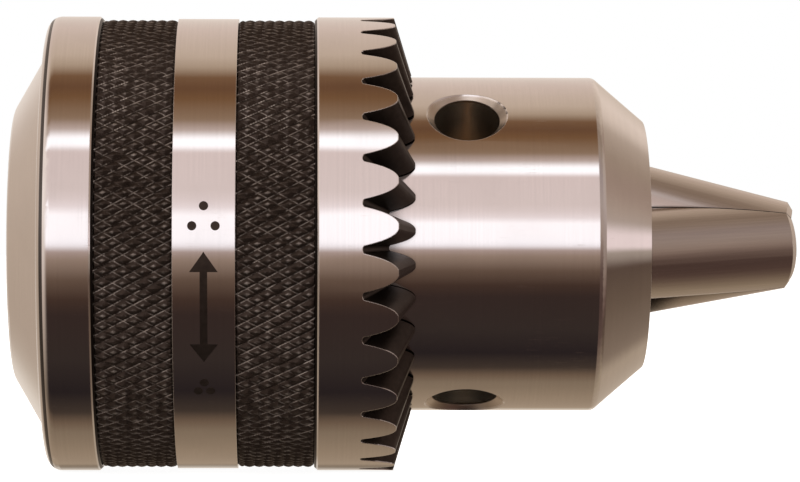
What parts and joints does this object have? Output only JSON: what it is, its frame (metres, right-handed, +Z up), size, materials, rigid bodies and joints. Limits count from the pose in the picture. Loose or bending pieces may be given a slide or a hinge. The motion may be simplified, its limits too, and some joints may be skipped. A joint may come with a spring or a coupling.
{
  "type": "keyed three-jaw drill chuck",
  "caption": "Keyed drill chuck with a geared and knurled sleeve, inclined threaded jaws, a split nut and a short-taper socket.",
  "frame": {"origin": "centre of the rear face, at the mouth of the taper socket", "axes": "+X along the chuck axis towards the jaws, +Z up; the sleeve and the jaws are in the closed position"},
  "size_m": [0.0979, 0.057, 0.057],
  "materials": {
    "ground_steel": "fine-turned bright steel",
    "sleeve_steel": "fine-turned bright steel with blackened knurl and tooth gaps",
    "jaw_steel": "ground hardened steel",
    "black_oxide": "blackened steel",
    "bearing_steel": "polished bearing steel"
  },
  "bodies": {
    "body": {"chuck_body": "ground_steel", "thrust_race": "bearing_steel", "bearing_balls": "bearing_steel"},
    "sleeve": {"sleeve": "sleeve_steel", "nut_half_a": "black_oxide", "nut_half_b": "black_oxide"},
    "jaw_1": {"jaw_1": "jaw_steel"},
    "jaw_2": {"jaw_2": "jaw_steel"},
    "jaw_3": {"jaw_3": "jaw_steel"}
  },
  "joints": [
    {"name": "sleeve_turn", "type": "hinge", "parent": "body", "child": "sleeve", "pos_m": [0, 0, 0], "axis": [1, 0, 0], "range_deg": [0, 4729]},
    {"name": "jaw_1_slide", "type": "slide", "parent": "body", "child": "jaw_1", "axis": [-0.9659, 0.067, 0.25], "range_m": [0, 0.03285]},
    {"name": "jaw_2_slide", "type": "slide", "parent": "body", "child": "jaw_2", "axis": [-0.9659, -0.25, -0.067], "range_m": [0, 0.03285]},
    {"name": "jaw_3_slide", "type": "slide", "parent": "body", "child": "jaw_3", "axis": [-0.9659, 0.183, -0.183], "range_m": [0, 0.03285]}
  ],
  "couplings": [
    {"joint": "jaw_1_slide", "follows": "sleeve_turn", "m_per_rad": 0.00039789},
    {"joint": "jaw_2_slide", "follows": "sleeve_turn", "m_per_rad": 0.00039789},
    {"joint": "jaw_3_slide", "follows": "sleeve_turn", "m_per_rad": 0.00039789}
  ]
}
